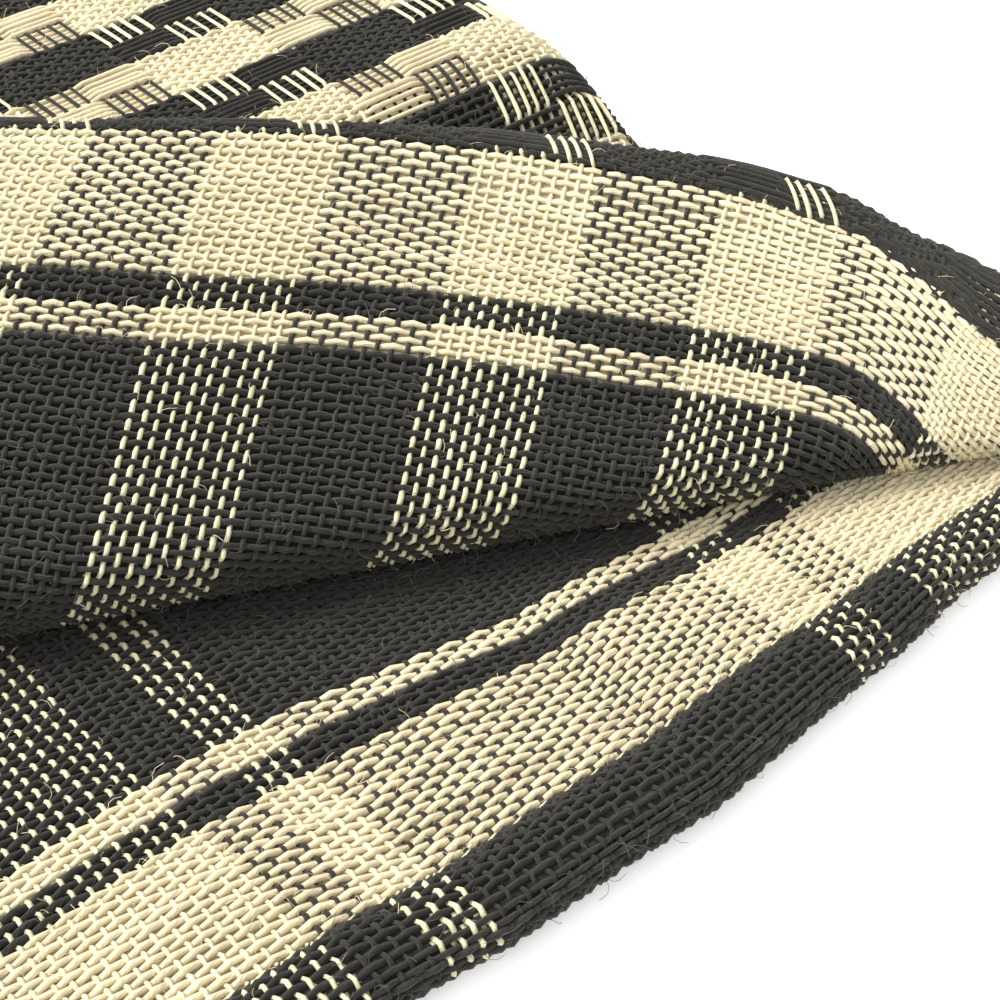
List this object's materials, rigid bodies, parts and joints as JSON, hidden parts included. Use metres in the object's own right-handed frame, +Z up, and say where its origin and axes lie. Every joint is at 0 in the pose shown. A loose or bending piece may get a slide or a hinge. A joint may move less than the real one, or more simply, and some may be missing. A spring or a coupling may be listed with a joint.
{
  "type": "folded keffiyeh headscarf",
  "caption": "Square cotton headscarf folded into a flat stack, woven in cream and charcoal, with rolled hems and the front corner of its top sheet turned back in a soft roll.",
  "frame": {"origin": "middle of the underside's bounding rectangle, on the surface the scarf rests on", "axes": "+Z up, +Y from the front hem to the back fold, +X from the left edge to the side fold"},
  "size_m": [0.2798, 0.3052, 0.015],
  "materials": {
    "border_cloth": "open plain weave, cream and charcoal stripes, matt and slightly fuzzy",
    "field_cloth": "open plain weave, charcoal ground with a cream net figure in floats, matt",
    "hem_cloth": "charcoal rolled hem crossed by cream warp groups, matt and fuzzy"
  },
  "bodies": {
    "root": {"lower_sheet": "border_cloth", "top_sheet": "field_cloth", "hidden_layers": "field_cloth", "turned_flap": "border_cloth", "front_hem": "hem_cloth", "side_hem": "hem_cloth", "flap_hem": "hem_cloth", "flap_left_fold": "border_cloth", "top_left_fold": "field_cloth"}
  },
  "joints": []
}
